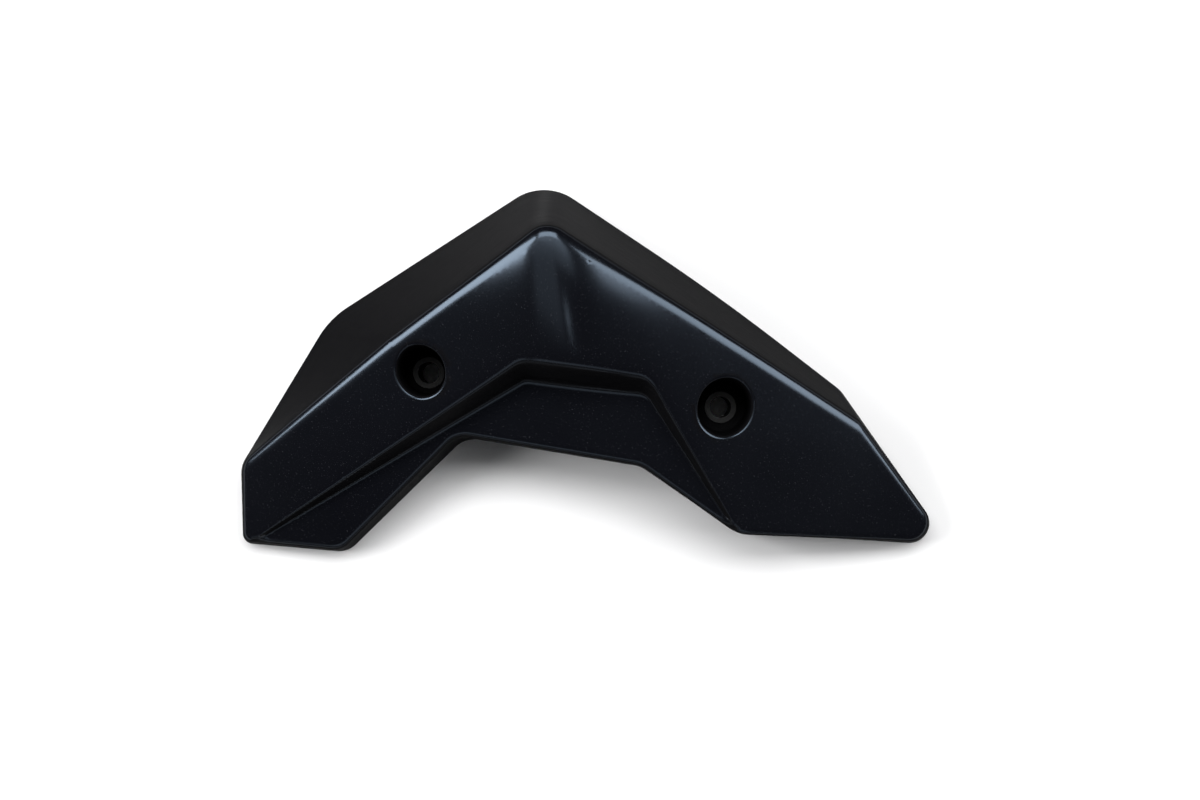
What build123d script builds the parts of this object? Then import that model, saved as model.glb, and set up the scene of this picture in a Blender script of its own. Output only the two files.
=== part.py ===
"""Chevron road hump: a hollow moulded shell, bolted down through two deep wells.

Millimetres. +Z is up and Z = 0 is the road. The apex points along +Y and the two arms
run to -X and +X. The origin is the centre of the footprint, on the road.
"""
from build123d import *
import os
from math import radians, sin

os.makedirs("parts", exist_ok=True)

# ---- footprint: corners of the outline on the road, before rounding -------------------
APEX = (-27.0, 124.3)
LEFT_SHOULDER = (-167.0, 32.0)
LEFT_TIP_FRONT = (-225.0, -63.0)
LEFT_TIP_BACK = (-225.0, -113.0)
LEFT_HEEL = (-156.0, -118.5)
LEFT_CROTCH = (-79.0, -45.0)
RIGHT_CROTCH = (36.0, -64.0)
RIGHT_HEEL = (99.0, -106.5)
RIGHT_TIP = (237.2, -114.0)
RIGHT_SHOULDER = (166.0, -14.0)

# ---- top face: corners of the two sloping facets, seen from above ---------------------
CREST_FRONT = (-22.0, 83.0)
LEFT_BROW = (-118.0, 14.5)
LEFT_END_FRONT = (-218.5, -60.0)
LEFT_END_BACK = (-221.0, -110.5)
LEFT_HEEL_TOP = (-157.0, -115.5)
LEFT_CROTCH_TOP = (-80.0, -42.0)
RIGHT_CROTCH_TOP = (35.0, -61.0)
RIGHT_HEEL_TOP = (95.0, -103.0)
RIGHT_END_BACK = (234.2, -111.5)
RIGHT_END_FRONT = (173.5, -36.0)

# ---- heights above the road, and falls from one level to the next ----------------------
CREST_HEIGHT = 125.0
CREST_FALL = 16.0
LEFT_END_HEIGHT = 30.0
RIGHT_TIP_HEIGHT = 13.0
WEB_DROP = 32.0
WEB_FALL = 9.0
STEP_AT_TIPS = 3.0

# ---- step between the facets and the lower web ----------------------------------------
STEP_START_LEFT = (-213.0, -110.0)
STEP_TOP_LEFT = (-38.0, 2.0)
STEP_FOOT_LEFT = (-36.5, -7.0)
STEP_TOP_RIGHT = (39.5, -7.0)
STEP_FOOT_RIGHT = (38.0, -16.5)
STEP_END_RIGHT = (93.5, -98.5)
CUT_OVERRUN = 5.0

# ---- rounding of the outline's upright corners ----------------------------------------
APEX_RADIUS = 30.0
LEFT_SHOULDER_RADIUS = 30.0
LEFT_TIP_RADIUS = 7.0
LEFT_HEEL_RADIUS = 14.0
LEFT_CROTCH_RADIUS = 16.0
RIGHT_CROTCH_RADIUS = 14.0
RIGHT_HEEL_RADIUS = 14.0
RIGHT_TIP_RADIUS = 12.0
RIGHT_SHOULDER_RADIUS = 7.0
UPRIGHT_STEEPNESS = 0.6

# ---- walls and fits ---------------------------------------------------------------------
WALL = 5.0
FIT = 0.3

# ---- bolt wells -------------------------------------------------------------------------
LEFT_WELL = (-100.0, -3.0)
RIGHT_WELL = (86.5, -25.0)
LEFT_WELL_MOUTH_RADIUS = 16.0
RIGHT_WELL_MOUTH_RADIUS = 18.0
WELL_TAPER = 2.0
WELL_WALL = 4.0
WELL_FLOOR_HEIGHT = 30.0
WELL_FLOOR_THICKNESS = 5.0

# ---- anchor sleeves ---------------------------------------------------------------------
ANCHOR_HOLE_RADIUS = 6.75
SLEEVE_WALL = 3.25
COLLAR_OVERHANG = 5.0
COLLAR_THICKNESS = 3.0
SLIP_FIT = 0.1
SEAL_HEIGHT = 4.0
SEAL_WIDTH = 5.0

# ---- base panel, its screws and pads ----------------------------------------------------
PANEL_THICKNESS = 4.0
POST_RADIUS = 6.0
SCREW_RADIUS = 2.0
SCREW_LENGTH = 16.0
SCREW_HEAD_RADIUS = 4.0
SCREW_HEAD_DEPTH = 2.2
SCREW_END_CLEARANCE = 1.0
POSTS = [(-203.0, -86.0), (-150.0, -52.0), (-66.0, 44.0), (6.0, 62.0), (-30.0, -30.0),
         (28.0, -38.0), (64.0, 10.0), (140.0, -44.0), (196.0, -92.0), (112.0, -88.0)]
PAD_RADIUS = 11.0
PAD_THICKNESS = 2.5
PADS = [(-186.0, -98.0), (-132.0, -2.0), (-30.0, 84.0), (-2.0, -8.0), (112.0, -6.0), (170.0, -84.0)]

# ---- rib inserts ------------------------------------------------------------------------
RIB_THICKNESS = 4.0
RAIL_SPACING = 50.0
ARM_RIB_LENGTH = 148.0
LEFT_ARM_CENTRE = (-116.0, -18.0)
LEFT_ARM_DIRECTION = (-0.79, -0.61)
LEFT_RUNGS = [-52.0, 12.0, 44.0]
RIGHT_ARM_CENTRE = (104.0, -38.0)
RIGHT_ARM_DIRECTION = (0.83, -0.56)
RIGHT_RUNGS = [-56.0, 14.0, 46.0]
CREST_RIB_CENTRE = (-20.0, 24.0)
CREST_RIB_DIRECTION = (0.12, -0.99)
CREST_RAIL_SPACING = 36.0
CREST_RIB_LENGTH = 110.0
CREST_RUNGS = [-40.0, 0.0, 40.0]


def crest_x(y):
    """X of the crest line, which runs straight on from the apex past the crest's front end."""
    lean = (CREST_FRONT[0] - APEX[0]) / (CREST_FRONT[1] - APEX[1])
    return APEX[0] + lean * (y - APEX[1])


def crest_meets(first, second):
    """Point where the crest line crosses the line through two points, seen from above."""
    lean = crest_x(1.0) - crest_x(0.0)
    slope = (second[1] - first[1]) / (second[0] - first[0])
    y = (first[1] + slope * (crest_x(0.0) - first[0])) / (1 - slope * lean)
    return crest_x(y), y


def height_on(plane, x, y):
    """Height at which a sloping plane stands above the point (x, y)."""
    return plane.origin.Z - (
        plane.z_dir.X * (x - plane.origin.X) + plane.z_dir.Y * (y - plane.origin.Y)
    ) / plane.z_dir.Z


def plane_through(first, second, third):
    """Plane through three points, facing up."""
    normal = (Vector(*second) - Vector(*first)).cross(Vector(*third) - Vector(*first))
    if normal.Z < 0:
        normal = normal * -1
    return Plane(origin=first, x_dir=Vector(*second) - Vector(*first), z_dir=normal)


def drawn_in(outline, margins):
    """Outline with each side moved inwards by its own margin; sides start at each point in turn."""
    turn = sum(
        x0 * y1 - x1 * y0 for (x0, y0), (x1, y1) in zip(outline, outline[1:] + outline[:1])
    )
    sign = 1 if turn > 0 else -1
    sides = []
    for (x0, y0), (x1, y1), margin in zip(outline, outline[1:] + outline[:1], margins):
        run = Vector(x1 - x0, y1 - y0).normalized()
        sides.append((Vector(x0 - sign * run.Y * margin, y0 + sign * run.X * margin), run))
    corners = []
    for (start_a, run_a), (start_b, run_b) in zip(sides[-1:] + sides[:-1], sides):
        between = run_a.X * run_b.Y - run_a.Y * run_b.X
        gap = start_b - start_a
        along = (gap.X * run_b.Y - gap.Y * run_b.X) / between
        corner = start_a + run_a * along
        corners.append((corner.X, corner.Y))
    return corners


def ruled_block(low_plane, low_outline, high_plane, high_outline):
    """Solid with straight-ruled sides between two outlines that stand on two planes."""
    with BuildPart() as block:
        for plane, outline in ((low_plane, low_outline), (high_plane, high_outline)):
            with BuildSketch(plane):
                with BuildLine():
                    corners = [
                        plane.to_local_coords(Vector(x, y, height_on(plane, x, y)))
                        for x, y in outline
                    ]
                    Polyline(*[(corner.X, corner.Y) for corner in corners], close=True)
                make_face()
        loft(ruled=True)
    return block.part


CREST_BACK = crest_meets(STEP_TOP_LEFT, STEP_TOP_RIGHT)
CREST_STEP_FOOT = crest_meets(STEP_FOOT_LEFT, STEP_FOOT_RIGHT)
CREST_CROTCH = crest_meets(LEFT_CROTCH, RIGHT_CROTCH)
CREST_CROTCH_TOP = crest_meets(LEFT_CROTCH_TOP, RIGHT_CROTCH_TOP)
CREST_BACK_HEIGHT = CREST_HEIGHT - CREST_FALL
WEB_FRONT_HEIGHT = CREST_BACK_HEIGHT - WEB_DROP
WEB_BACK_HEIGHT = WEB_FRONT_HEIGHT - WEB_FALL

LEFT_FACET = plane_through(
    (*CREST_FRONT, CREST_HEIGHT), (*CREST_BACK, CREST_BACK_HEIGHT), (*LEFT_END_FRONT, LEFT_END_HEIGHT)
)
RIGHT_FACET = plane_through(
    (*CREST_FRONT, CREST_HEIGHT), (*CREST_BACK, CREST_BACK_HEIGHT), (*RIGHT_END_BACK, RIGHT_TIP_HEIGHT)
)
LEFT_WEB = plane_through(
    (*CREST_STEP_FOOT, WEB_FRONT_HEIGHT), (*CREST_CROTCH, WEB_BACK_HEIGHT),
    (*STEP_START_LEFT, height_on(LEFT_FACET, *STEP_START_LEFT) - STEP_AT_TIPS),
)
RIGHT_WEB = plane_through(
    (*CREST_STEP_FOOT, WEB_FRONT_HEIGHT), (*CREST_CROTCH, WEB_BACK_HEIGHT),
    (*STEP_END_RIGHT, height_on(RIGHT_FACET, *STEP_END_RIGHT) - STEP_AT_TIPS),
)

LEFT_BASE = [APEX, LEFT_SHOULDER, LEFT_TIP_FRONT, LEFT_TIP_BACK, LEFT_HEEL, LEFT_CROTCH, CREST_CROTCH]
LEFT_TOP = [CREST_FRONT, LEFT_BROW, LEFT_END_FRONT, LEFT_END_BACK, LEFT_HEEL_TOP, LEFT_CROTCH_TOP,
            CREST_CROTCH_TOP]
RIGHT_BASE = [APEX, CREST_CROTCH, RIGHT_CROTCH, RIGHT_HEEL, RIGHT_TIP, RIGHT_SHOULDER]
RIGHT_TOP = [CREST_FRONT, CREST_CROTCH_TOP, RIGHT_CROTCH_TOP, RIGHT_HEEL_TOP, RIGHT_END_BACK,
             RIGHT_END_FRONT]
BEHIND_Y = min(y for _, y in LEFT_BASE + RIGHT_BASE) - CUT_OVERRUN
CREST_BEHIND = (crest_x(BEHIND_Y), BEHIND_Y)
BEHIND_LEFT = (STEP_START_LEFT[0], BEHIND_Y)
BEHIND_RIGHT = (STEP_END_RIGHT[0], BEHIND_Y)

# Foot, head and radius of each upright corner.
ROUNDED_CORNERS = [
    (RIGHT_TIP, (*RIGHT_END_BACK, RIGHT_TIP_HEIGHT), RIGHT_TIP_RADIUS),
    (APEX, (*CREST_FRONT, CREST_HEIGHT), APEX_RADIUS),
    (LEFT_SHOULDER, (*LEFT_BROW, height_on(LEFT_FACET, *LEFT_BROW)), LEFT_SHOULDER_RADIUS),
    (LEFT_TIP_FRONT, (*LEFT_END_FRONT, LEFT_END_HEIGHT), LEFT_TIP_RADIUS),
    (LEFT_TIP_BACK, (*LEFT_END_BACK, height_on(LEFT_FACET, *LEFT_END_BACK)), LEFT_TIP_RADIUS),
    (LEFT_HEEL, (*LEFT_HEEL_TOP, height_on(LEFT_WEB, *LEFT_HEEL_TOP)), LEFT_HEEL_RADIUS),
    (RIGHT_SHOULDER, (*RIGHT_END_FRONT, height_on(RIGHT_FACET, *RIGHT_END_FRONT)), RIGHT_SHOULDER_RADIUS),
    (RIGHT_CROTCH, (*RIGHT_CROTCH_TOP, height_on(RIGHT_WEB, *RIGHT_CROTCH_TOP)), RIGHT_CROTCH_RADIUS),
    (LEFT_CROTCH, (*LEFT_CROTCH_TOP, height_on(LEFT_WEB, *LEFT_CROTCH_TOP)), LEFT_CROTCH_RADIUS),
    (RIGHT_HEEL, (*RIGHT_HEEL_TOP, height_on(RIGHT_FACET, *RIGHT_HEEL_TOP)), RIGHT_HEEL_RADIUS),
]

# Foot, head, both neighbours and radius of the corners whose rounding would thin the wall inside.
SHARP_CORNERS = [
    (APEX, (*CREST_FRONT, CREST_HEIGHT), LEFT_SHOULDER, RIGHT_SHOULDER, APEX_RADIUS),
    (RIGHT_TIP, (*RIGHT_END_BACK, RIGHT_TIP_HEIGHT), RIGHT_SHOULDER, RIGHT_HEEL, RIGHT_TIP_RADIUS),
]


def is_upright(edge):
    """True for an edge that rises more steeply than it runs."""
    return abs((edge @ 1 - edge @ 0).Z) > UPRIGHT_STEEPNESS * edge.length


def half_form(base, top, facet, crest_side, margin):
    """One half of the hump's form; the side that lies on the crest is never moved."""
    margins = [margin] * len(base)
    margins[crest_side] = 0.0
    return ruled_block(
        Plane.XY, drawn_in(base, margins), facet.offset(-margin), drawn_in(top, margins)
    )


def step_cut(foot, top, web, facet, open_sides, margin):
    """Space above the web, bounded by the sloping step; it grows when the form is drawn in."""
    margins = [0.0 if side in open_sides else -margin for side in range(len(foot))]
    return ruled_block(
        web.offset(-margin), drawn_in(foot, margins), facet.offset(-margin), drawn_in(top, margins)
    )


def hump_form(margin):
    """The hump's form with sharp corners, drawn in by an even margin on every side."""
    with BuildPart() as form:
        add(half_form(LEFT_BASE, LEFT_TOP, LEFT_FACET, len(LEFT_BASE) - 1, margin))
        add(half_form(RIGHT_BASE, RIGHT_TOP, RIGHT_FACET, 0, margin))
        add(step_cut(
            [STEP_START_LEFT, STEP_FOOT_LEFT, CREST_STEP_FOOT, CREST_BEHIND, BEHIND_LEFT],
            [STEP_START_LEFT, STEP_TOP_LEFT, CREST_BACK, CREST_BEHIND, BEHIND_LEFT],
            LEFT_WEB, LEFT_FACET, (2, 3, 4), margin,
        ), mode=Mode.SUBTRACT)
        add(step_cut(
            [CREST_STEP_FOOT, STEP_FOOT_RIGHT, STEP_END_RIGHT, BEHIND_RIGHT, CREST_BEHIND],
            [CREST_BACK, STEP_TOP_RIGHT, STEP_END_RIGHT, BEHIND_RIGHT, CREST_BEHIND],
            RIGHT_WEB, RIGHT_FACET, (2, 3, 4), margin,
        ), mode=Mode.SUBTRACT)
    return form.part


def round_cornered(solid):
    """The form with its upright corners rounded."""
    with BuildPart() as form:
        add(solid)
        for foot, head, radius in ROUNDED_CORNERS:
            middle = (Vector(*foot, 0) + Vector(*head)) * 0.5
            corner = form.edges().filter_by(is_upright).sort_by_distance(middle)[0]
            fillet(corner, radius=radius)
    return form.part


def flat_cornered(solid, margin):
    """The drawn-in form, cut off square behind the sharpest rounded corners to keep the wall there."""
    with BuildPart() as form:
        add(solid)
        for foot, head, left, right, radius in SHARP_CORNERS:
            to_left = (Vector(*left) - Vector(*foot)).normalized()
            to_right = (Vector(*right) - Vector(*foot)).normalized()
            half_angle = radians(to_left.get_angle(to_right)) / 2
            rounded_off = radius * (1 / sin(half_angle) - 1)
            outward = (to_left - to_right).cross(Vector(*head) - Vector(*foot, 0))
            nose = Plane(origin=(*foot, 0), x_dir=to_right - to_left, z_dir=outward)
            split(bisect_by=nose.offset(-rounded_off - margin), keep=Keep.BOTTOM)
    return form.part


def well_space(centre, facet, radius, floor_height, spread):
    """Round well: level floor, mouth in the sloping facet; spread widens it all round."""
    mouth = Plane(origin=(*centre, height_on(facet, *centre)), z_dir=facet.z_dir)
    with BuildPart() as well:
        with BuildSketch(Plane.XY.offset(floor_height)):
            with Locations(centre):
                Circle(radius - WELL_TAPER + spread)
        with BuildSketch(mouth):
            Circle(radius + spread)
        loft()
    return well.part


def column(centre, radius, bottom, top):
    """Upright round solid between two heights."""
    with BuildPart() as post:
        with BuildSketch(Plane.XY.offset(bottom)):
            with Locations(centre):
                Circle(radius)
        extrude(amount=top - bottom)
    return post.part


def screw_profile(spread):
    """Countersunk screw standing head down on the road plane; spread widens it into its seat."""
    with BuildPart() as body:
        with BuildSketch(Plane.XZ):
            with BuildLine():
                Polyline(
                    (0, 0), (SCREW_HEAD_RADIUS + spread, 0),
                    (SCREW_RADIUS + spread, SCREW_HEAD_DEPTH), (SCREW_RADIUS + spread, SCREW_LENGTH),
                    (0, SCREW_LENGTH), close=True,
                )
            make_face()
        revolve(axis=Axis.Z)
    return body.part


WELLS = {
    "left": (LEFT_WELL, LEFT_FACET, LEFT_WELL_MOUTH_RADIUS),
    "right": (RIGHT_WELL, RIGHT_FACET, RIGHT_WELL_MOUTH_RADIUS),
}
SLEEVE_RADIUS = ANCHOR_HOLE_RADIUS + SLEEVE_WALL
COLLAR_RADIUS = SLEEVE_RADIUS + COLLAR_OVERHANG
COLLAR_TOP = WELL_FLOOR_HEIGHT - WELL_FLOOR_THICKNESS

# ---- moulded shell ------------------------------------------------------------------------
outer_form = round_cornered(hump_form(0.0))
cavity_form = flat_cornered(hump_form(WALL), WALL)
lining_form = flat_cornered(hump_form(WALL + FIT), WALL + FIT)

with BuildPart() as hollow:
    add(cavity_form)
    for centre, facet, radius in WELLS.values():
        add(well_space(centre, facet, radius, COLLAR_TOP, WELL_WALL), mode=Mode.SUBTRACT)
    for centre in POSTS:
        add(column(centre, POST_RADIUS, PANEL_THICKNESS, CREST_HEIGHT), mode=Mode.SUBTRACT)

with BuildPart() as moulded_shell:
    add(outer_form)
    add(hollow.part, mode=Mode.SUBTRACT)
    for centre, facet, radius in WELLS.values():
        add(well_space(centre, facet, radius, WELL_FLOOR_HEIGHT, 0.0), mode=Mode.SUBTRACT)
        add(column(centre, SLEEVE_RADIUS + SLIP_FIT, COLLAR_TOP, WELL_FLOOR_HEIGHT), mode=Mode.SUBTRACT)
    for centre in POSTS:
        add(column(centre, SCREW_RADIUS, PANEL_THICKNESS, SCREW_LENGTH + SCREW_END_CLEARANCE), mode=Mode.SUBTRACT)
moulded_shell.part.label = "moulded_shell"

# ---- base panel: closes the shell from below and stands flush with its rim -------------------
screw_seat = screw_profile(FIT)
with BuildPart() as base_panel:
    add(lining_form)
    split(bisect_by=Plane.XY.offset(PANEL_THICKNESS), keep=Keep.BOTTOM)
    for centre, _, _ in WELLS.values():
        add(column(centre, SLEEVE_RADIUS + FIT, 0, PANEL_THICKNESS), mode=Mode.SUBTRACT)
    for centre in PADS:
        add(column(centre, PAD_RADIUS + FIT, 0, PAD_THICKNESS), mode=Mode.SUBTRACT)
    with Locations(*POSTS):
        add(screw_seat, mode=Mode.SUBTRACT)
base_panel.part.label = "base_panel"

# ---- panel screws: one solid each, heads flush with the panel's underside ----------------------
screw = screw_profile(-SLIP_FIT)
with BuildPart() as panel_screws:
    with Locations(*POSTS):
        add(screw)
panel_screws.part.label = "panel_screws"

# ---- grip pads: rubber discs let into the panel's underside --------------------------------------
with BuildPart() as grip_pads:
    with BuildSketch():
        with Locations(*PADS):
            Circle(PAD_RADIUS)
    extrude(amount=PAD_THICKNESS)
grip_pads.part.label = "grip_pads"

# ---- anchor sleeves and their seals -----------------------------------------------------------------
sleeves = {}
seals = {}
for side, (centre, _, _) in WELLS.items():
    with BuildPart() as sleeve:
        add(column(centre, SLEEVE_RADIUS, 0, WELL_FLOOR_HEIGHT))
        add(column(centre, COLLAR_RADIUS, COLLAR_TOP - COLLAR_THICKNESS, COLLAR_TOP))
        add(column(centre, ANCHOR_HOLE_RADIUS, 0, WELL_FLOOR_HEIGHT), mode=Mode.SUBTRACT)
    sleeve.part.label = side + "_anchor_sleeve"
    sleeves[side] = sleeve
    with BuildPart() as seal:
        add(column(centre, SLEEVE_RADIUS + SEAL_WIDTH, PANEL_THICKNESS, PANEL_THICKNESS + SEAL_HEIGHT))
        add(column(centre, SLEEVE_RADIUS + SLIP_FIT, PANEL_THICKNESS, PANEL_THICKNESS + SEAL_HEIGHT),
            mode=Mode.SUBTRACT)
    seal.part.label = side + "_sleeve_seal"
    seals[side] = seal


# ---- rib inserts: ladders that stand on the panel and carry the top face ------------------------------
def rib_insert(outline_plane, rails, rungs, length):
    """Ladder of ribs, trimmed to the inside of the shell and clear of wells, posts and seals."""
    with BuildPart() as insert:
        with BuildSketch(outline_plane):
            for offset_y in rails:
                with Locations((0, offset_y)):
                    Rectangle(length, RIB_THICKNESS)
            for offset_x in rungs:
                with Locations((offset_x, 0)):
                    Rectangle(RIB_THICKNESS, abs(rails[-1] - rails[0]))
        extrude(amount=CREST_HEIGHT)
        add(lining_form, mode=Mode.INTERSECT)
        for centre, facet, radius in WELLS.values():
            add(well_space(centre, facet, radius, 0, WELL_WALL + WELL_TAPER + FIT), mode=Mode.SUBTRACT)
        for centre in POSTS:
            add(column(centre, POST_RADIUS + FIT, 0, CREST_HEIGHT), mode=Mode.SUBTRACT)
    return insert


def arm_plane(centre, direction):
    """Plane on top of the base panel, with X along an arm of the hump."""
    return Plane(origin=(*centre, PANEL_THICKNESS + SLIP_FIT), x_dir=(*direction, 0), z_dir=(0, 0, 1))


LEFT_ARM = arm_plane(LEFT_ARM_CENTRE, LEFT_ARM_DIRECTION)
RIGHT_ARM = arm_plane(RIGHT_ARM_CENTRE, RIGHT_ARM_DIRECTION)
CREST_ARM = arm_plane(CREST_RIB_CENTRE, CREST_RIB_DIRECTION)
ARM_RAILS = (-RAIL_SPACING / 2, RAIL_SPACING / 2)
CREST_RAILS = (-CREST_RAIL_SPACING / 2, CREST_RAIL_SPACING / 2)
ribs = {
    "left": rib_insert(LEFT_ARM, ARM_RAILS, LEFT_RUNGS, ARM_RIB_LENGTH),
    "right": rib_insert(RIGHT_ARM, ARM_RAILS, RIGHT_RUNGS, ARM_RIB_LENGTH),
    "crest": rib_insert(CREST_ARM, CREST_RAILS, CREST_RUNGS, CREST_RIB_LENGTH),
}
for side, insert in ribs.items():
    insert.part.label = side + "_rib_insert"

# ---- files ------------------------------------------------------------------------------------------------
for piece in (moulded_shell, base_panel, panel_screws, grip_pads,
              *sleeves.values(), *seals.values(), *ribs.values()):
    export_step(piece.part, "parts/" + piece.part.label + ".step")
    print(piece.part.label, len(piece.part.solids()), round(piece.part.volume / 1000, 1), "cm3")
print("whole", moulded_shell.part.bounding_box())
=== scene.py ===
"""Looks of a chevron road hump: its moulded skin, its hidden fittings and a plain studio.

Lengths are in metres once a piece is made; the classes below hold them in millimetres,
which MM turns into metres. +Z is up, Z = 0 is the road, and the apex points along +Y.
"""

import logging
import math
from dataclasses import dataclass, field
from enum import Enum
from functools import cached_property

import bmesh
import bpy
import numpy as np
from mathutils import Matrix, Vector
from mathutils.geometry import delaunay_2d_cdt

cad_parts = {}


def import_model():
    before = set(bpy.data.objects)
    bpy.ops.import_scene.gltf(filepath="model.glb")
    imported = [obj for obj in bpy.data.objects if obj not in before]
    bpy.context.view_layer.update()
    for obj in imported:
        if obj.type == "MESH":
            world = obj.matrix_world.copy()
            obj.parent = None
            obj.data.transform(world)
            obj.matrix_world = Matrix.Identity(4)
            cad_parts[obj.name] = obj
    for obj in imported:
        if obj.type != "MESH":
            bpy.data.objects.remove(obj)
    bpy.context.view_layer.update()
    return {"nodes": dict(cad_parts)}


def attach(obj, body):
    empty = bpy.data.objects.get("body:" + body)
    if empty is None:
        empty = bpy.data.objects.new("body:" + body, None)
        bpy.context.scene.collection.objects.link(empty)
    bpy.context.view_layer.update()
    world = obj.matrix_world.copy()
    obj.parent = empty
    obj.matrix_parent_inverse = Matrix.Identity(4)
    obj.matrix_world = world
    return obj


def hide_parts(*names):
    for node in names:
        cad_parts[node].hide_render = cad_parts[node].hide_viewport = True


MM = 0.001
CHUNK = 2000
OUTLINE_ARC_STEPS = 16
OUTLINE_SIDE_STEPS = 14
LEAST_RADIUS = 2.5
logging.basicConfig(level=logging.INFO, format="%(message)s")
log = logging.getLogger("road_hump")


# ---- shader expressions -----------------------------------------------------------------


class Wire:
    """One output socket of a material, which takes part in Python arithmetic."""

    def __init__(self, graph: "Graph", socket: bpy.types.NodeSocket) -> None:
        """Wrap a socket.

        Args:
            graph: The graph that the socket belongs to.
            socket: The output socket.
        """
        self.graph = graph
        self.socket = socket

    def _math(self, operation: str, *values: object) -> "Wire":
        """Return the result of a Math node on this wire and other values."""
        inputs = dict(enumerate((self, *values)))
        return self.graph.node("ShaderNodeMath", {"operation": operation}, inputs)

    def __add__(self, other: object) -> "Wire":
        """Return self + other."""
        return self._math("ADD", other)

    def __sub__(self, other: object) -> "Wire":
        """Return self - other."""
        return self._math("SUBTRACT", other)

    def __rsub__(self, other: float) -> "Wire":
        """Return other - self."""
        return self.graph.node("ShaderNodeMath", {"operation": "SUBTRACT"}, {0: other, 1: self})

    def __mul__(self, other: object) -> "Wire":
        """Return self * other."""
        return self._math("MULTIPLY", other)

    __radd__ = __add__
    __rmul__ = __mul__

    def ramp(self, low: float, high: float) -> "Wire":
        """Return a smooth rise from 0 at low to 1 at high."""
        return self.graph.node(
            "ShaderNodeMapRange", {"interpolation_type": "SMOOTHSTEP"}, {0: self, 1: low, 2: high}
        )


class Graph:
    """The node tree of one material."""

    def __init__(self, name: str) -> None:
        """Start an empty material.

        Args:
            name: The material's name.
        """
        self.material = bpy.data.materials.new(name)
        self.material.use_nodes = True
        self.tree = self.material.node_tree
        self.tree.nodes.clear()

    def node(self, kind: str, settings: dict, inputs: dict, output: object = 0) -> Wire:
        """Add a node.

        Args:
            kind: The node's type name.
            settings: Properties that are set before the sockets.
            inputs: Values or wires for the sockets, by index or name.
            output: Index or name of the output that is returned.

        Returns:
            The chosen output as a wire.
        """
        made = self.tree.nodes.new(kind)
        for key, value in settings.items():
            setattr(made, key, value)
        for key, value in inputs.items():
            if isinstance(value, Wire):
                self.tree.links.new(value.socket, made.inputs[key])
            else:
                made.inputs[key].default_value = value
        return Wire(self, made.outputs[output])

    def place(self) -> Wire:
        """Return the surface's Object coordinates, in metres."""
        return self.node("ShaderNodeTexCoord", {}, {}, "Object")

    def noise(self, scale: float, detail: float = 3.0, stretch: tuple = (1.0, 1.0, 1.0)) -> Wire:
        """Return cloudy noise from 0 to 1.

        Args:
            scale: Features per metre.
            detail: Octaves of finer noise.
            stretch: Scale along each axis.
        """
        place = self.node("ShaderNodeMapping", {}, {0: self.place(), 3: stretch})
        return self.node(
            "ShaderNodeTexNoise", {}, {"Vector": place, "Scale": scale, "Detail": detail}
        )

    def tint(self, mask: Wire, first: tuple, second: tuple) -> Wire:
        """Return a colour that goes from first to second as the mask rises."""
        return self.node(
            "ShaderNodeMix", {"data_type": "RGBA"}, {0: mask, 6: (*first, 1.0), 7: (*second, 1.0)}, 2
        )

    def bump(self, height: Wire, distance: float) -> Wire:
        """Return a normal that is tilted by a height, whose full range is a distance in metres."""
        return self.node("ShaderNodeBump", {}, {"Height": height, "Distance": distance})

    def attribute(self, name: str) -> Wire:
        """Return a mesh attribute's value."""
        return self.node("ShaderNodeAttribute", {"attribute_name": name}, {}, "Fac")

    def shader(self, **inputs: object) -> Wire:
        """Return a Principled shader.

        Args:
            inputs: The shader's sockets, with underscores for spaces.
        """
        named = {key.replace("_", " "): value for key, value in inputs.items()}
        return self.node("ShaderNodeBsdfPrincipled", {}, named)

    def finish(self, shader: Wire) -> bpy.types.Material:
        """Join a shader to the output and return the finished material."""
        output = self.tree.nodes.new("ShaderNodeOutputMaterial")
        self.tree.links.new(shader.socket, output.inputs[0])
        return self.material

    def surface(self, **inputs: object) -> bpy.types.Material:
        """Return the material finished with one Principled shader."""
        return self.finish(self.shader(**inputs))


# ---- finishes -----------------------------------------------------------------------------


@dataclass(frozen=True)
class MouldedSkin:
    """Glossy black moulding: polished top, dull drawn walls, dust specks and a faint waviness."""

    colour: tuple = (0.0024, 0.0025, 0.0037)
    dusty: tuple = (0.03, 0.031, 0.036)
    wall_colour: tuple = (0.0032, 0.0032, 0.0038)
    wall_worn: tuple = (0.012, 0.012, 0.0128)
    sheen_tint: tuple = (0.62, 0.79, 1.0, 1.0)
    gloss: float = 0.18
    wall_roughness: float = 0.5
    specular: float = 0.5
    wall_specular: float = 0.004

    def make(self) -> bpy.types.Material:
        """Build the material."""
        g = Graph("moulded_skin")
        polish = g.attribute("polish")
        clouds = g.noise(9.0, 4.0)
        specks = g.noise(1100.0, 1.0).ramp(0.69, 0.74)
        waves = g.noise(16.0, 1.0) * 0.9 + g.noise(700.0, 2.0) * 0.010
        top = g.shader(
            Base_Color=g.tint(specks * 0.6 + clouds * 0.05, self.colour, self.dusty),
            Roughness=clouds * 0.08 + self.gloss - 0.04,
            Specular_IOR_Level=self.specular,
            Specular_Tint=self.sheen_tint,
            Normal=g.bump(waves, 0.0006),
        )
        streaks = g.noise(60.0, 4.0, (1.0, 1.0, 14.0))
        grain = g.noise(800.0, 2.0)
        wall = g.shader(
            Base_Color=g.tint(
                streaks.ramp(0.45, 0.8) * 0.3 + grain * 0.2, self.wall_colour, self.wall_worn
            ),
            Roughness=streaks * 0.2 + self.wall_roughness - 0.1,
            Specular_IOR_Level=self.wall_specular,
            Normal=g.bump(streaks + grain * 0.3, 0.00012),
        )
        return g.finish(g.node("ShaderNodeMixShader", {}, {0: polish, 1: wall, 2: top}))


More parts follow.
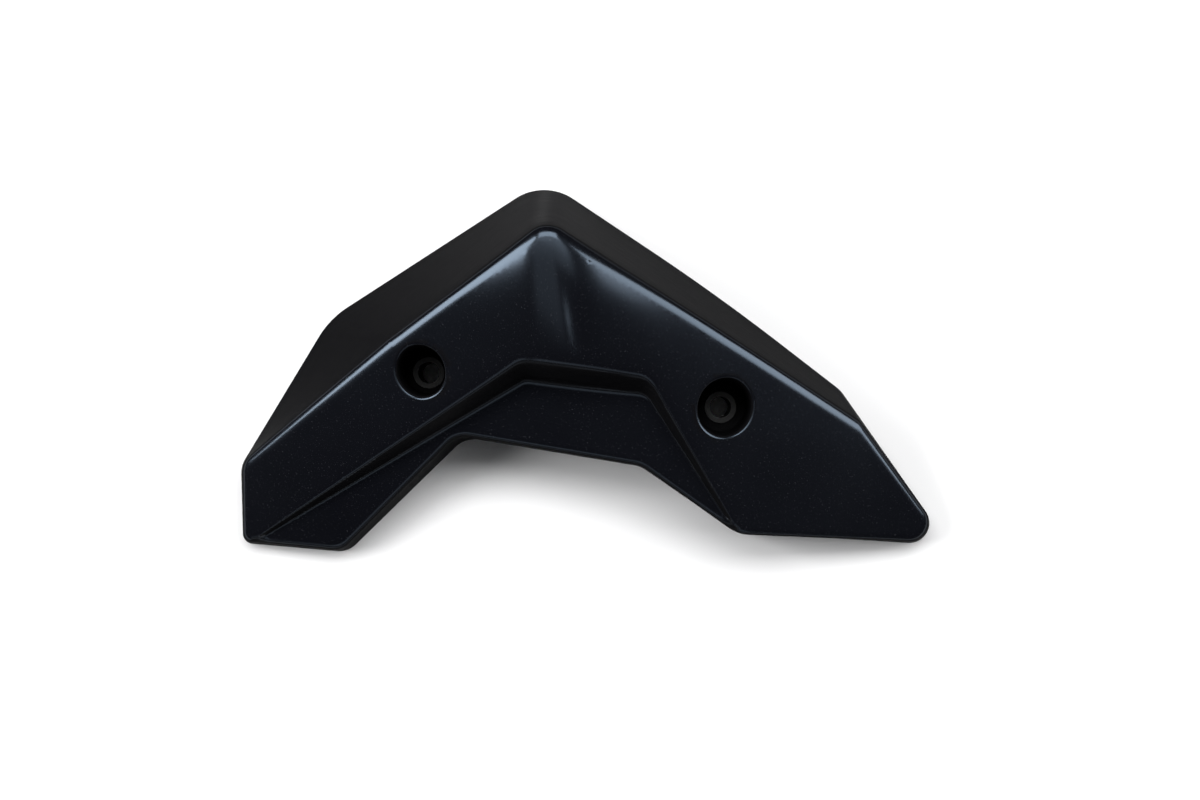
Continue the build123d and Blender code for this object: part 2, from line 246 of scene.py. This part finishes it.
@dataclass(frozen=True)
class MattMoulding:
    """Matt black plastic with a fine spark-eroded grain and a little road dust."""

    name: str = "matt_moulding"
    colour: tuple = (0.02, 0.02, 0.022)
    dusty: tuple = (0.07, 0.066, 0.06)
    grain: float = 1400.0
    roughness: float = 0.62

    def make(self) -> bpy.types.Material:
        """Build the material."""
        g = Graph(self.name)
        grain = g.noise(self.grain, 2.0)
        dust = g.noise(30.0, 5.0).ramp(0.5, 0.8)
        return g.surface(
            Base_Color=g.tint(dust * 0.5 + grain * 0.1, self.colour, self.dusty),
            Roughness=dust * 0.15 + self.roughness + grain * 0.1,
            Normal=g.bump(grain, 0.00015),
        )


@dataclass(frozen=True)
class Metal:
    """Turned or rolled metal with a fine brushed grain and worn patches."""

    name: str
    colour: tuple
    worn: tuple
    roughness: float
    metallic: float

    def make(self) -> bpy.types.Material:
        """Build the material."""
        g = Graph(self.name)
        brushed = g.noise(500.0, 3.0, (1.0, 1.0, 8.0))
        wear = g.noise(120.0, 4.0).ramp(0.52, 0.7)
        return g.surface(
            Base_Color=g.tint(wear * 0.6, self.colour, self.worn),
            Metallic=self.metallic,
            Roughness=brushed * 0.2 + self.roughness - 0.1,
            Normal=g.bump(brushed, 0.00006),
        )


@dataclass(frozen=True)
class PaleFloor:
    """Plain pale floor with a barely visible mottle."""

    colour: tuple = (0.9, 0.9, 0.9)
    shade: tuple = (0.86, 0.86, 0.865)

    def make(self) -> bpy.types.Material:
        """Build the material."""
        g = Graph("pale_floor")
        return g.surface(
            Base_Color=g.tint(g.noise(3.0, 2.0), self.colour, self.shade), Roughness=0.9,
            Specular_IOR_Level=0.1,
        )


class Finish(Enum):
    """The finishes of the hump's pieces."""

    SKIN = MouldedSkin()
    PANEL = MattMoulding()
    RIBS = MattMoulding("rib_moulding", (0.03, 0.03, 0.032), (0.08, 0.08, 0.08), 900.0, 0.55)
    RUBBER = MattMoulding("soft_rubber", (0.012, 0.012, 0.012), (0.05, 0.05, 0.048), 2200.0, 0.75)
    ZINC = Metal("zinc_plate", (0.55, 0.56, 0.58), (0.38, 0.37, 0.34), 0.35, 1.0)
    COATED_STEEL = Metal("coated_steel", (0.002, 0.002, 0.0025), (0.008, 0.008, 0.009), 0.7, 0.0)


# ---- the moulded shell ------------------------------------------------------------------------


@dataclass(frozen=True)
class Corner:
    """A corner of an outline, in millimetres, with the radius that rounds it."""

    x: float
    y: float
    radius: float = 0.0


def rounded(corners: list[Corner], arc_steps: int, side_steps: int, closed: bool = True) -> np.ndarray:
    """Walk round an outline whose corners are rounded.

    Args:
        corners: The sharp corners in order.
        arc_steps: Steps round each corner.
        side_steps: Steps along each straight side.
        closed: Whether the last corner joins the first.

    Returns:
        Points of the outline, the same number for any outline of as many corners.
    """
    arcs = []
    for index, corner in enumerate(corners):
        here = Vector((corner.x, corner.y))
        if not closed and index in (0, len(corners) - 1):
            arcs.append([here])
            continue
        before = corners[index - 1]
        after = corners[(index + 1) % len(corners)]
        back = (Vector((before.x, before.y)) - here).normalized()
        ahead = (Vector((after.x, after.y)) - here).normalized()
        half = back.angle(ahead) / 2
        reach = corner.radius / math.tan(half)
        middle = here + (back + ahead).normalized() * (corner.radius / math.sin(half))
        start = here + back * reach - middle
        turn = (math.pi - 2 * half) * (1 if back.x * ahead.y - back.y * ahead.x < 0 else -1)
        arc = []
        for step in range(arc_steps + 1):
            angle = turn * step / arc_steps
            arc.append(middle + Vector((
                start.x * math.cos(angle) - start.y * math.sin(angle),
                start.x * math.sin(angle) + start.y * math.cos(angle),
            )))
        arcs.append(arc)
    points = []
    for index, arc in enumerate(arcs):
        points += arc
        if closed or index < len(arcs) - 1:
            onward = arcs[(index + 1) % len(arcs)][0]
            points += [arc[-1].lerp(onward, step / side_steps) for step in range(1, side_steps)]
    return np.array([(point.x, point.y) for point in points])


def drawn_in(corners: list[Corner], reach: tuple[float, ...]) -> list[Corner]:
    """Move each side of an outline inwards.

    Args:
        corners: The corners in order, anticlockwise.
        reach: How far each side moves; a side starts at each corner in turn.

    Returns:
        The new corners, whose radii still suit the old ones.
    """
    moved = []
    for index, corner in enumerate(corners):
        before = corners[index - 1]
        after = corners[(index + 1) % len(corners)]
        here = Vector((corner.x, corner.y))
        run_in = (here - Vector((before.x, before.y))).normalized()
        run_out = (Vector((after.x, after.y)) - here).normalized()
        turn = run_in.x * run_out.y - run_in.y * run_out.x
        shift_in = Vector((-run_in.y, run_in.x)) * reach[index - 1]
        shift_out = Vector((-run_out.y, run_out.x)) * reach[index]
        gap = shift_out - shift_in
        along = (gap.x * run_out.y - gap.y * run_out.x) / turn
        spot = here + shift_in + run_in * along
        mean = (reach[index - 1] + reach[index]) / 2
        moved.append(Corner(spot.x, spot.y, max(corner.radius - math.copysign(mean, turn), LEAST_RADIUS)))
    return moved


@dataclass(frozen=True)
class Slope:
    """A plane through three points, in millimetres."""

    a: tuple
    b: tuple
    c: tuple

    def height(self, xy: np.ndarray) -> np.ndarray:
        """Return the plane's height above each point."""
        rows = np.array([(x, y, 1.0) for x, y, _ in (self.a, self.b, self.c)])
        solved = np.linalg.solve(rows, np.array([z for _, _, z in (self.a, self.b, self.c)]))
        return xy @ solved[:2] + solved[2]


@dataclass(frozen=True)
class Well:
    """A round bolt well, in millimetres."""

    x: float
    y: float
    mouth_radius: float
    floor_height: float = 30.0
    taper: float = 2.0
    lip: float = 2.0
    hole_radius: float = 10.1
    floor_bend: float = 3.0
    hole_bevel: float = 0.4
    steps: int = 72


@dataclass
class MouldedShell:
    """The hump's skin: ruled walls, two sloping facets, a step down to the web and two wells."""

    foot: list[Corner] = field(default_factory=lambda: [
        Corner(-27.0, 124.3, 34.0), Corner(-168.0, 33.0, 60.0), Corner(-226.3, -63.5, 18.0),
        Corner(-225.0, -114.3, 7.0), Corner(-156.0, -120.3, 16.0), Corner(-79.0, -45.0, 18.0),
        Corner(36.0, -64.0, 18.0), Corner(99.0, -107.3, 26.0), Corner(239.3, -116.0, 13.2),
        Corner(167.5, -14.0, 24.0), Corner(86.0, 49.0, 1500.0),
    ])
    rim: list[Corner] = field(default_factory=lambda: [
        Corner(-22.0, 84.6, 17.0), Corner(-118.8, 15.6, 60.0), Corner(-219.3, -60.0, 14.0),
        Corner(-221.0, -111.5, 6.0), Corner(-157.0, -117.0, 15.0), Corner(-80.0, -42.0, 17.0),
        Corner(35.0, -61.0, 18.0), Corner(95.0, -104.0, 26.0), Corner(235.5, -113.0, 12.0),
        Corner(174.3, -34.8, 12.0), Corner(77.1, 25.2, 7000.0),
    ])
    reach: tuple[float, ...] = (6.5, 6.5, 4.0, 4.0, 4.0, 4.0, 4.0, 4.0, 5.0, 6.5, 6.5)
    step_top: list[Corner] = field(default_factory=lambda: [
        Corner(-290.0, -159.0), Corner(-213.0, -110.0, 20.0), Corner(-38.0, 2.0, 14.0),
        Corner(39.5, -7.0, 14.0), Corner(93.5, -98.5, 20.0), Corner(126.0, -154.0),
    ])
    step_foot: list[Corner] = field(default_factory=lambda: [
        Corner(-290.0, -161.0), Corner(-212.5, -111.5, 20.0), Corner(-36.5, -7.0, 10.0),
        Corner(38.0, -16.5, 10.0), Corner(91.5, -99.5, 20.0), Corner(124.0, -155.0),
    ])
    wells: tuple[Well, ...] = (Well(-100.0, -3.0, 16.0), Well(86.5, -25.0, 18.0))
    crest_front: tuple = (-22.0, 83.0, 125.0)
    crest_back: tuple = (-12.0, -1.0, 109.0)
    left_end: tuple = (-218.5, -60.0, 30.0)
    right_end: tuple = (173.5, -36.0, 44.0)
    web_front: tuple = (-11.1, -8.5, 77.0)
    web_back: tuple = (-5.3, -57.2, 65.5)
    web_left: tuple = (-213.0, -110.0, 17.3)
    web_right: tuple = (93.5, -98.5, 57.2)
    crest_blend: float = 19.0
    wall: float = 5.0
    rim_drop: float = 4.5
    crown_reach: float = 60.0
    crown_lift: float = 1.0
    dome: tuple = (-12.0, 46.0)
    dome_lift: float = 3.0
    dome_size: float = 50.0
    rows: int = 10
    grid: float = 3.0
    thin_wall_share: float = 0.35
    thin_wall_reach: float = 3.0
    smooth_angle: float = 40.0
    nose_width: float = 4.0
    nose_polish: float = 0.03

    def top(self, xy: np.ndarray) -> np.ndarray:
        """Return the height of the skin's top above each point."""
        facets = self._crested(self.left_end, self.right_end, self.crest_front, self.crest_back, xy)
        near = np.clip(1 - self._signed_distance(xy, self._front_line()) / self.crown_reach, 0, 1)
        away = ((xy - self.dome) ** 2).sum(1) / self.dome_size**2
        facets = facets + self.crown_lift * (1 - near**2)
        facets = facets + self.dome_lift * np.exp(-away) * (1 - near**8)
        web = self._crested(self.web_left, self.web_right, self.web_front, self.web_back, xy)
        return web + (facets - web) * self._step_share(xy)

    def _crested(
        self, left: tuple, right: tuple, front: tuple, back: tuple, xy: np.ndarray
    ) -> np.ndarray:
        """Return the height of two slopes that meet in a soft crest."""
        one = Slope(front, back, left).height(xy)
        two = Slope(front, back, right).height(xy)
        near = np.clip(1 - np.abs(one - two) / self.crest_blend, 0, 1)
        return np.minimum(one, two) - near**3 * self.crest_blend / 6

    def _step_distances(self, xy: np.ndarray) -> tuple[np.ndarray, np.ndarray, np.ndarray]:
        """Measure points against the step.

        Args:
            xy: The points.

        Returns:
            The distance from the step's top line, from its foot line, and the step's width there.
        """
        top_line, foot_line = self._step_lines
        to_top = np.empty(len(xy))
        to_foot = np.empty(len(xy))
        for start in range(0, len(xy), CHUNK):
            chunk = slice(start, start + CHUNK)
            to_top[chunk] = self._signed_distance(xy[chunk], top_line)
            to_foot[chunk] = self._signed_distance(xy[chunk], foot_line)
        width = np.where(np.abs(to_top - to_foot) < 1e-6, 1e-6, to_top - to_foot)
        return to_top, to_foot, width

    def _step_share(self, xy: np.ndarray) -> np.ndarray:
        """Return 1 on the facets, 0 on the web, and a rounded slope between, for each point."""
        _, to_foot, width = self._step_distances(xy)
        return self._soft_clamp(-to_foot / width)

    def _band_share(self, xy: np.ndarray) -> np.ndarray:
        """Return how far across the step each point lies: 0 on its top line, 1 on its foot line."""
        to_top, _, width = self._step_distances(xy)
        return to_top / width

    def _front_line(self) -> np.ndarray:
        """Return the rim along both arms' front edges as points, from right to left."""
        front = [self.rim[index] for index in (9, 10, 0, 1, 2)]
        return rounded(front, 8, 12, closed=False)

    @cached_property
    def _step_lines(self) -> tuple[np.ndarray, np.ndarray]:
        """Return the step's top and foot lines as points."""
        return (
            rounded(self.step_top, 8, 30, closed=False), rounded(self.step_foot, 8, 30, closed=False)
        )

    @staticmethod
    def _signed_distance(points: np.ndarray, line: np.ndarray) -> np.ndarray:
        """Return each point's distance from a line, positive on the line's left."""
        start = line[:-1][None]
        run = (line[1:] - line[:-1])[None]
        gap = points[:, None] - start
        along = np.clip((gap * run).sum(2) / (run**2).sum(2), 0, 1)
        off = gap - run * along[..., None]
        away = np.sqrt((off**2).sum(2))
        nearest = away.argmin(1)
        picked = np.arange(len(points)), nearest
        side = run[0][nearest, 0] * gap[picked][:, 1] - run[0][nearest, 1] * gap[picked][:, 0]
        return away[picked] * np.sign(side)

    @staticmethod
    def _soft_clamp(value: np.ndarray, softness: float = 0.22) -> np.ndarray:
        """Return the value held between 0 and 1, with rounded ends."""
        low = (value + np.sqrt(value**2 + softness**2)) / 2
        rest = 1 - low
        return 1 - (rest + np.sqrt(rest**2 + softness**2)) / 2

    def make(self) -> bpy.types.Object:
        """Build the skin, give it its wall and return it."""
        sheet = bmesh.new()
        foot = rounded(self.foot, OUTLINE_ARC_STEPS, OUTLINE_SIDE_STEPS)
        rim = rounded(self.rim, OUTLINE_ARC_STEPS, OUTLINE_SIDE_STEPS)
        inner = self._add_walls(sheet, foot, rim)
        lips = [self._add_well(sheet, well) for well in self.wells]
        self._add_top(sheet, inner, lips)
        bmesh.ops.remove_doubles(sheet, verts=sheet.verts, dist=0.00002)
        bmesh.ops.recalc_face_normals(sheet, faces=sheet.faces)
        mesh = bpy.data.meshes.new("moulded_shell_skin")
        sheet.to_mesh(mesh)
        sheet.free()
        shell = bpy.data.objects.new("moulded_shell_skin", mesh)
        bpy.context.collection.objects.link(shell)
        self._thicken(shell)
        return shell

    def _ring(self, sheet: bmesh.types.BMesh, points: np.ndarray) -> list:
        """Add a closed ring of vertices, given in millimetres."""
        return [sheet.verts.new(Vector(point) * MM) for point in points.tolist()]

    def _bridge(self, sheet: bmesh.types.BMesh, rings: list[list]) -> None:
        """Join each ring to the next with four-sided faces."""
        for low, high in zip(rings, rings[1:]):
            for index in range(len(low)):
                onward = (index + 1) % len(low)
                sheet.faces.new((low[index], low[onward], high[onward], high[index]))

    def _add_walls(self, sheet: bmesh.types.BMesh, foot: np.ndarray, rim: np.ndarray) -> np.ndarray:
        """Add the walls and the rounded rim.

        Args:
            sheet: The mesh that is being built.
            foot: The outline on the road.
            rim: The outline where walls and top would meet if they weren't rounded.

        Returns:
            The innermost ring, which lies on the top.
        """
        low = np.column_stack((foot, np.zeros(len(foot))))
        high = np.column_stack((rim, self.top(rim)))
        on_top = rounded(drawn_in(self.rim, self.reach), OUTLINE_ARC_STEPS, OUTLINE_SIDE_STEPS)
        on_top = np.column_stack((on_top, self.top(on_top)))
        fall = low - high
        drop = np.minimum(self.rim_drop / np.linalg.norm(fall, axis=1), 0.45)[:, None]
        on_wall = high + fall * drop
        rings = [low]
        for row in (0.1, *range(1, self.rows)):
            rings.append(low + (on_wall - low) * row / self.rows)
        for step in range(9):
            share = step / 8
            rings.append(
                on_wall * (1 - share) ** 2 + high * 2 * share * (1 - share) + on_top * share**2
            )
        self._bridge(sheet, [self._ring(sheet, ring) for ring in rings])
        return rings[-1]

    def _add_well(self, sheet: bmesh.types.BMesh, well: Well) -> np.ndarray:
        """Add a well's lip, wall and floor, and return the ring where its lip meets the top."""
        angles = np.arange(well.steps) * 2 * math.pi / well.steps
        centre = np.array((well.x, well.y))
        probe = centre + np.array(((0.0, 0.0), (1.0, 0.0), (0.0, 1.0)))
        level, east, north = self.top(probe)
        normal = Vector((level - east, level - north, 1.0)).normalized()
        along = Vector((0.0, 0.0, 1.0)).cross(normal).normalized()
        across = normal.cross(along)
        middle = Vector((well.x, well.y, level))

        def tilted(radius: float, sunk: float) -> np.ndarray:
            """Return a circle parallel to the top, some way below it."""
            return np.array([
                middle - normal * sunk + (along * math.cos(a) + across * math.sin(a)) * radius
                for a in angles
            ])

        lip = tilted(well.mouth_radius + well.lip, 0.0)
        edge = tilted(well.mouth_radius, 0.0)
        throat = tilted(well.mouth_radius - 0.1, well.lip)
        rings = []
        for step in range(7):
            share = step / 6
            rings.append(lip * (1 - share) ** 2 + edge * 2 * share * (1 - share) + throat * share**2)
        floor_radius = well.mouth_radius - well.taper
        spin = math.atan2(along.y, along.x)
        level_ring = np.array([
            (well.x + math.cos(a + spin), well.y + math.sin(a + spin), 0.0) for a in angles
        ])

        def level_circle(radius: float, height: float) -> np.ndarray:
            """Return a level circle round the well's axis."""
            return (level_ring - (well.x, well.y, 0.0)) * radius + (well.x, well.y, height)

        bend = level_circle(floor_radius, well.floor_height + well.floor_bend)
        for step in range(1, 9):
            rings.append(throat + (bend - throat) * step / 8)
        rings.append(level_circle(floor_radius - 0.9, well.floor_height + 0.9))
        rings.append(level_circle(floor_radius - well.floor_bend, well.floor_height))
        rings.append(level_circle(well.hole_radius + well.hole_bevel, well.floor_height))
        rings.append(level_circle(well.hole_radius, well.floor_height - well.hole_bevel))
        self._bridge(sheet, [self._ring(sheet, ring[::-1]) for ring in rings][::-1])
        return rings[0]

    def _add_top(self, sheet: bmesh.types.BMesh, inner: np.ndarray, lips: list[np.ndarray]) -> None:
        """Fill the top between the rim and the wells' lips, finely where it curves."""
        loops = [inner[:, :2], *[lip[:, :2] for lip in lips]]
        fixed = np.vstack(loops)
        edges = []
        start = 0
        for loop in loops:
            edges += [(start + i, start + (i + 1) % len(loop)) for i in range(len(loop))]
            start += len(loop)
        low = inner[:, :2].min(0)
        high = inner[:, :2].max(0)
        across = np.arange(low[0], high[0], self.grid)
        upward = np.arange(low[1], high[1], self.grid * 0.866)
        spots = [(x + (row % 2) * self.grid / 2, y) for row, y in enumerate(upward) for x in across]
        free = np.array(spots)
        top_line, foot_line = self._step_lines
        along = np.linspace(0, len(top_line) - 1, 420)
        whole = np.floor(along).astype(int).clip(0, len(top_line) - 2)
        part = (along - whole)[:, None]
        top_at = top_line[whole] * (1 - part) + top_line[whole + 1] * part
        foot_at = foot_line[whole] * (1 - part) + foot_line[whole + 1] * part
        band = np.vstack([top_at + (foot_at - top_at) * share for share in np.linspace(-0.5, 1.5, 17)])
        near = self._band_share(free)
        free = free[(near < -0.55) | (near > 1.55)]
        free = np.vstack((free, band))
        free = free[self._inside(free, loops[0], 1.0)]
        for lip in loops[1:]:
            middle = lip.mean(0)
            reach = np.linalg.norm(lip - middle, axis=1).max() + 1.5
            free = free[np.linalg.norm(free - middle, axis=1) > reach]
        points = [Vector(point) for point in np.vstack((fixed, free)).tolist()]
        out, _, faces, _, _, _ = delaunay_2d_cdt(points, edges, [], 0, 0.02)
        flat = np.array([(point.x, point.y) for point in out])
        placed = self._ring(sheet, np.column_stack((flat, self.top(flat))))
        centres = np.array([flat[list(face)].mean(0) for face in faces])
        keep = self._inside(centres, loops[0], 0.0)
        for lip in loops[1:]:
            keep &= ~self._inside(centres, lip, 0.0)
        for face, kept in zip(faces, keep):
            if kept:
                sheet.faces.new([placed[index] for index in face])
        bmesh.ops.delete(sheet, geom=[v for v in sheet.verts if not v.link_faces], context="VERTS")

    def _inside(self, points: np.ndarray, loop: np.ndarray, margin: float) -> np.ndarray:
        """Return whether each point lies in a loop, by more than a margin."""
        result = np.zeros(len(points), bool)
        onward = np.roll(loop, -1, 0)
        for start in range(0, len(points), CHUNK):
            part = points[start:start + CHUNK]
            x, y = part[:, :1], part[:, 1:]
            crosses = (loop[:, 1] > y) != (onward[:, 1] > y)
            reach = (onward[:, 0] - loop[:, 0]) * (y - loop[:, 1])
            reach = reach / np.where(onward[:, 1] == loop[:, 1], 1e-9, onward[:, 1] - loop[:, 1])
            inside = (crosses & (x < reach + loop[:, 0])).sum(1) % 2 == 1
            if margin:
                near = np.sqrt(((part[:, None] - loop[None]) ** 2).sum(2)).min(1)
                inside &= near > margin
            result[start:start + CHUNK] = inside
        return result

    def _thicken(self, shell: bpy.types.Object) -> None:
        """Give the skin its wall, thinner round the wells, and smooth its shading."""
        group = shell.vertex_groups.new(name="wall")
        for vertex in shell.data.vertices:
            nearest = min(
                (Vector((vertex.co.x, vertex.co.y)) - Vector((w.x, w.y)) * MM).length / MM
                - w.mouth_radius for w in self.wells
            )
            share = self.thin_wall_share if nearest < self.thin_wall_reach else 1.0
            group.add([vertex.index], share, "REPLACE")
        wall = shell.modifiers.new("wall", "SOLIDIFY")
        wall.thickness = self.wall * MM
        wall.offset = -1.0
        wall.vertex_group = "wall"
        bpy.ops.object.select_all(action="DESELECT")
        bpy.context.view_layer.objects.active = shell
        shell.select_set(True)
        bpy.ops.object.modifier_apply(modifier="wall")
        for vertex in shell.data.vertices:
            vertex.co.z = max(vertex.co.z, 0.0)
        bpy.ops.object.shade_smooth_by_angle(angle=math.radians(self.smooth_angle))
        self._mark_polish(shell)

    def _mark_polish(self, shell: bpy.types.Object) -> None:
        """Store where the skin is polished: on its top and a little down its nose, not in the wells."""
        polish = shell.data.attributes.new("polish", "FLOAT", "POINT")
        upward = np.array([vertex.normal.z for vertex in shell.data.vertices])
        share = np.clip((upward - 0.6) / 0.25, 0, 1)
        places = np.array([vertex.co for vertex in shell.data.vertices]) / MM
        off_nose = (places[:, 0] - self.foot[0].x - 1.0) / self.nose_width
        nose = np.exp(-off_nose**2) * (places[:, 1] > self.rim[0].y)
        polished = np.maximum(share * share * (3 - 2 * share), nose * self.nose_polish)
        for well in self.wells:
            away = np.hypot(places[:, 0] - well.x, places[:, 1] - well.y)
            polished[away < well.mouth_radius - 0.5] = 0.0
        polish.data.foreach_set("value", polished)


# ---- fittings ------------------------------------------------------------------------------------


@dataclass
class Fittings:
    """The CAD pieces that show under the hump and in its wells, each with its own finish."""

    finishes: dict[str, Finish] = field(default_factory=lambda: {
        "base_panel": Finish.PANEL,
        "grip_pads": Finish.RUBBER,
        "panel_screws": Finish.ZINC,
        "left_anchor_sleeve": Finish.COATED_STEEL,
        "right_anchor_sleeve": Finish.COATED_STEEL,
        "left_sleeve_seal": Finish.RUBBER,
        "right_sleeve_seal": Finish.RUBBER,
        "left_rib_insert": Finish.RIBS,
        "right_rib_insert": Finish.RIBS,
        "crest_rib_insert": Finish.RIBS,
        "moulded_shell": Finish.SKIN,
    })

    def dress(self, nodes: dict, materials: dict) -> None:
        """Put each CAD piece's finish on it."""
        for name, finish in self.finishes.items():
            node = nodes[name]
            node.data.materials.clear()
            node.data.materials.append(materials[finish])
            log.info("dressed %s as %s", name, finish.name.lower())


# ---- studio ----------------------------------------------------------------------------------------


@dataclass(frozen=True)
class Lamp:
    """A soft rectangular light; one that doesn't fill shows in the gloss only."""

    name: str
    place: tuple
    target: tuple
    size: tuple
    power: float
    fills: bool = True


@dataclass
class Studio:
    """Pale floor, soft lights and a camera that looks straight down."""

    camera_place: tuple = (0.0095, -0.0204, 1.095)
    lens: float = 50.0
    floor_size: float = 24.0
    world_strength: float = 0.02
    lamps: tuple[Lamp, ...] = (
        Lamp("left_box", (-1.9, 0.3, 1.5), (0.0, 0.0, 0.0), (1.0, 1.2), 44.0),
        Lamp("right_box", (1.9, 0.3, 1.2), (0.0, 0.0, 0.0), (1.0, 1.2), 27.0),
        Lamp("front_box", (-0.05, 1.0, 2.1), (0.0, 0.0, 0.0), (2.4, 0.9), 52.0),
        Lamp("panel_front", (-0.1, 0.35, 2.1), (-0.1, 0.35, 0.0), (2.4, 0.55), 9.0, False),
        Lamp("panel_middle", (-0.1, -0.05, 2.1), (-0.1, -0.05, 0.0), (2.4, 0.3), 2.0, False),
        Lamp("panel_back", (-0.5, -0.55, 2.1), (-0.5, -0.55, 0.0), (1.4, 0.7), 1.5, False),
        Lamp("back_fill", (0.0, -2.6, 1.2), (0.0, 0.0, 0.0), (3.0, 1.0), 6.0),
        Lamp("crest_spark", (0.42, -0.62, 1.8), (0.0, 0.0, 0.1), (0.07, 0.07), 0.2),
    )

    def build(self) -> None:
        """Make the floor, the lights and the camera."""
        bpy.ops.mesh.primitive_plane_add(size=self.floor_size, location=(0.0, 0.0, -0.0004))
        floor = bpy.context.object
        floor.name = "studio_floor"
        floor.data.materials.append(PaleFloor().make())
        self._sky()
        for lamp in self.lamps:
            self._light(lamp)
        self._camera()

    def _sky(self) -> None:
        """Set a plain pale surround."""
        world = bpy.data.worlds.new("studio")
        bpy.context.scene.world = world
        world.use_nodes = True
        background = world.node_tree.nodes["Background"]
        background.inputs["Color"].default_value = (0.75, 0.82, 1.0, 1.0)
        background.inputs["Strength"].default_value = self.world_strength

    def _light(self, lamp: Lamp) -> None:
        """Add a light that faces its target."""
        light = bpy.data.lights.new(lamp.name, "AREA")
        light.shape = "RECTANGLE"
        light.size, light.size_y = lamp.size
        light.energy = lamp.power
        holder = bpy.data.objects.new(lamp.name, light)
        holder.location = lamp.place
        facing = (Vector(lamp.target) - Vector(lamp.place)).to_track_quat("-Z", "Y")
        holder.rotation_euler = facing.to_euler()
        holder.visible_diffuse = lamp.fills
        bpy.context.collection.objects.link(holder)

    def _camera(self) -> None:
        """Add the camera."""
        camera = bpy.data.cameras.new("camera")
        camera.lens = self.lens
        camera.sensor_width = 36.0
        holder = bpy.data.objects.new("camera", camera)
        holder.location = self.camera_place
        bpy.context.collection.objects.link(holder)
        bpy.context.scene.camera = holder


def main() -> None:
    """Build every piece, dress it, and light it."""
    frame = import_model()
    bpy.context.scene.view_settings.view_transform = "Standard"
    materials = {finish: finish.value.make() for finish in Finish}
    Fittings().dress(frame["nodes"], materials)
    shell = MouldedShell().make()
    shell.data.materials.append(materials[Finish.SKIN])
    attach(shell, "root")
    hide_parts("moulded_shell")
    log.info("built %s", shell.name)
    Studio().build()


if __name__ == "__main__":
    main()
